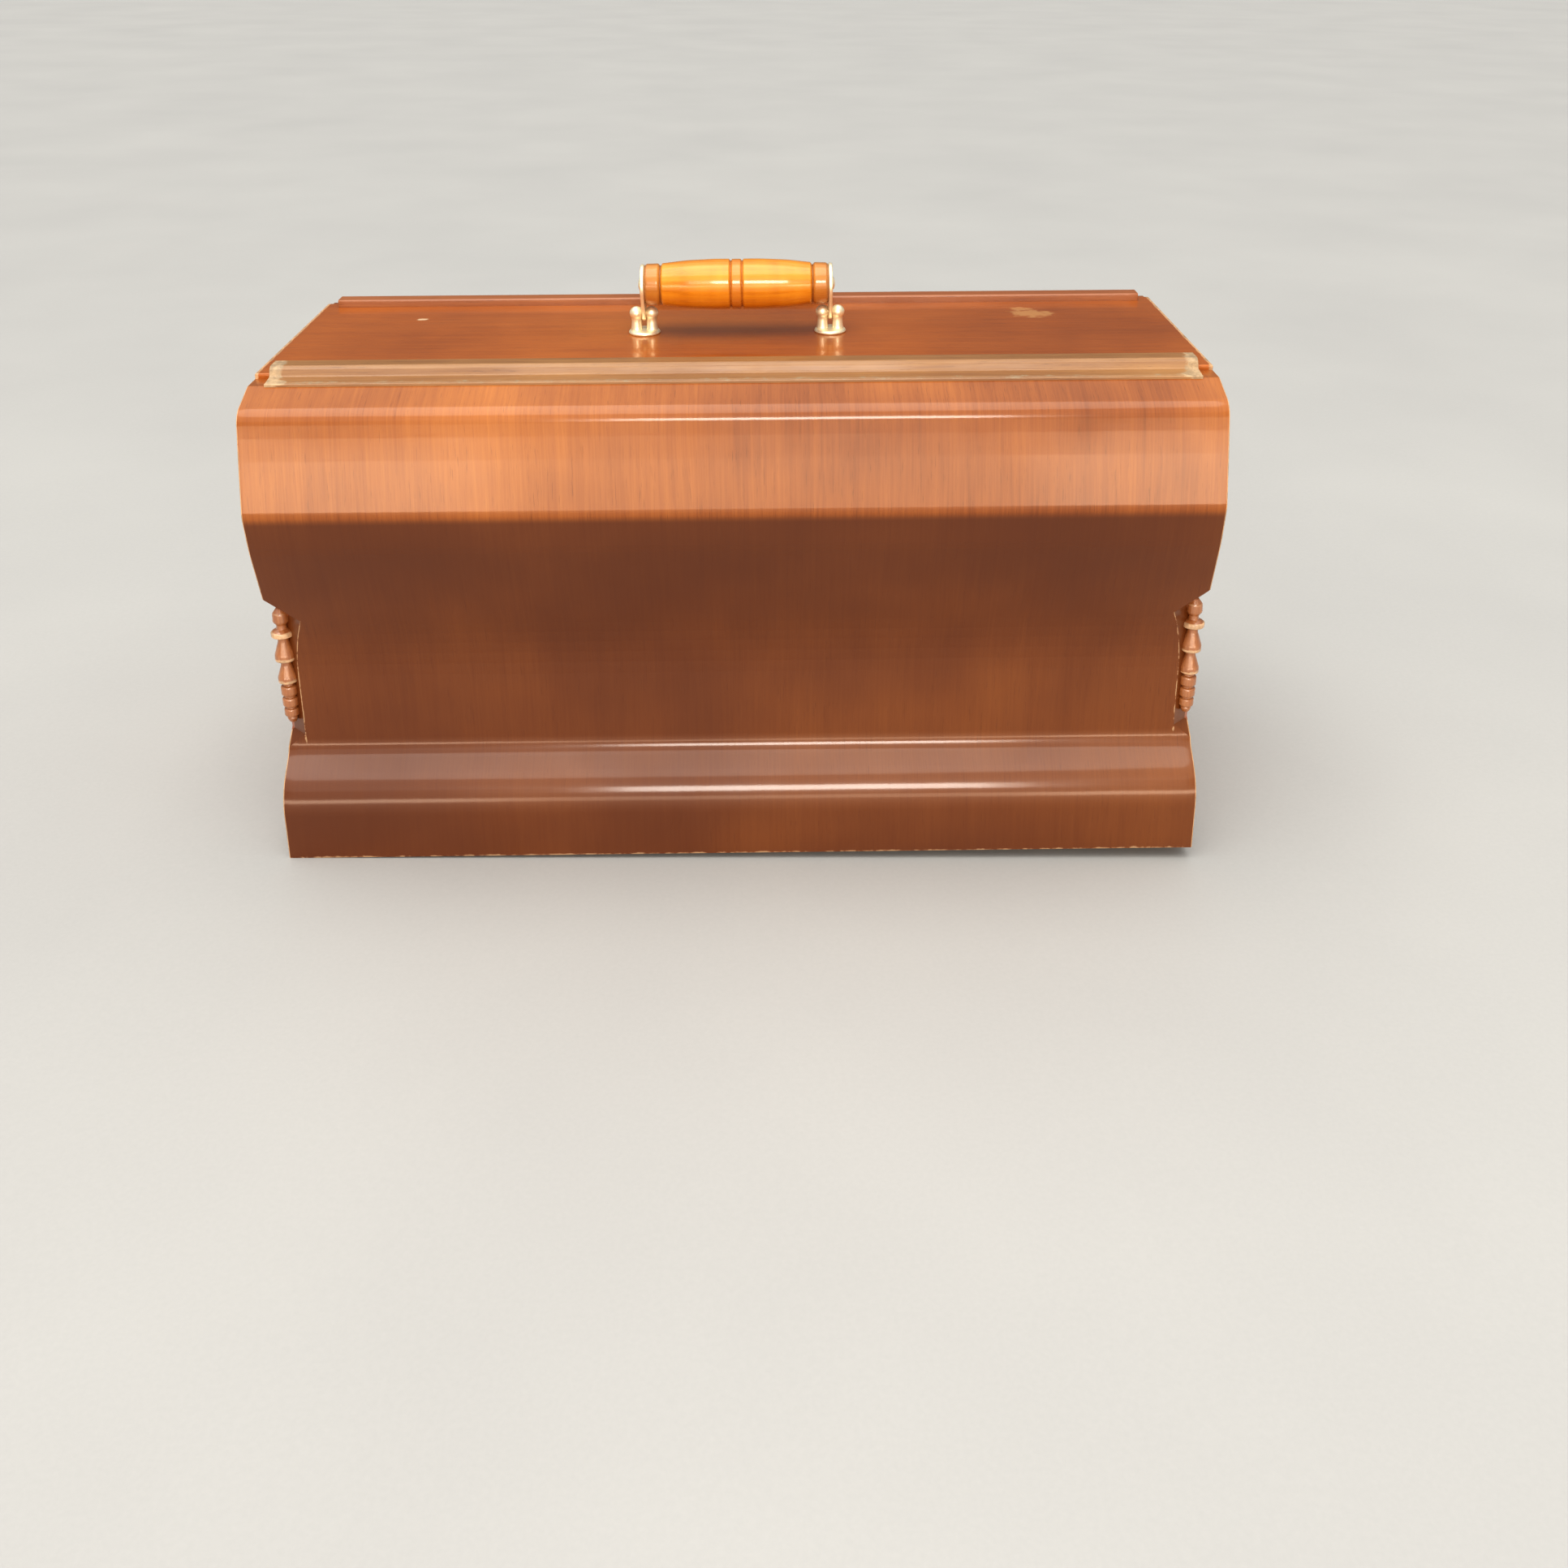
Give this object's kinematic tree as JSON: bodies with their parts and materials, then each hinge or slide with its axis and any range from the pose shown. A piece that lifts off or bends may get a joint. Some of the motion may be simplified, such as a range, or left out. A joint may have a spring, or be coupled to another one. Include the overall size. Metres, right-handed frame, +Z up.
{
  "type": "lift-off wooden machine cover",
  "caption": "Wooden lift-off cover with bulged veneered sides, ogee foot, stepped top mouldings, turned corner columns and a swinging bail handle with a turned grip.",
  "frame": {"origin": "on the level of the hook tips, under the middle of the cover (the rim is 8 mm above it)", "axes": "+X along the length, from the lock end to the hook end; the front faces -Y; +Z up"},
  "size_m": [0.5624, 0.27, 0.3508],
  "materials": {
    "veneer_front": "french polished, aged",
    "end_wood": "french polished, worn edges",
    "top_wood": "glossy french polish",
    "moulding_wood": "worn polish",
    "inner_wood": "bare",
    "column_wood": "polished",
    "grip_wood": "glossy polish, darker grooves",
    "handle_metal": "old nickel plate worn to brass",
    "inner_metal": "dull",
    "lock_metal": "dull brass",
    "screw_metal": "dull",
    "hook_metal": "dull"
  },
  "bodies": {
    "root": {"front_panel": "veneer_front", "back_panel": "veneer_front", "left_end_board": "end_wood", "right_end_board": "end_wood", "top_board": "top_wood", "front_top_moulding": "moulding_wood", "back_top_moulding": "moulding_wood", "front_base_rail": "inner_wood", "back_base_rail": "inner_wood", "glue_blocks": "inner_wood", "handle_batten": "inner_wood", "column_front_left": "column_wood", "column_front_right": "column_wood", "column_back_left": "column_wood", "column_back_right": "column_wood", "handle_bracket_left": "handle_metal", "handle_bracket_right": "handle_metal", "pivot_pins": "handle_metal", "bracket_washers": "inner_metal", "bracket_nuts": "inner_metal", "lock_case": "lock_metal", "lock_cap": "lock_metal", "lock_face_plate": "lock_metal", "lock_spring": "lock_metal", "lock_screws": "screw_metal", "hook_screws": "screw_metal", "key_escutcheon": "lock_metal", "escutcheon_pins": "lock_metal", "hook_front": "hook_metal", "hook_back": "hook_metal"},
    "handle": {"handle_grip": "grip_wood", "handle_rod": "handle_metal", "handle_arm_left": "handle_metal", "handle_arm_right": "handle_metal"},
    "bolt": {"lock_bolt": "lock_metal"}
  },
  "joints": [
    {"name": "handle_swing", "type": "hinge", "parent": "root", "child": "handle", "pos_m": [0, 0, 0.3172], "axis": [1, 0, 0], "range_deg": [-80, 80]},
    {"name": "bolt_throw", "type": "slide", "parent": "root", "child": "bolt", "axis": [0, -1, 0], "range_m": [0, 0.009]}
  ]
}
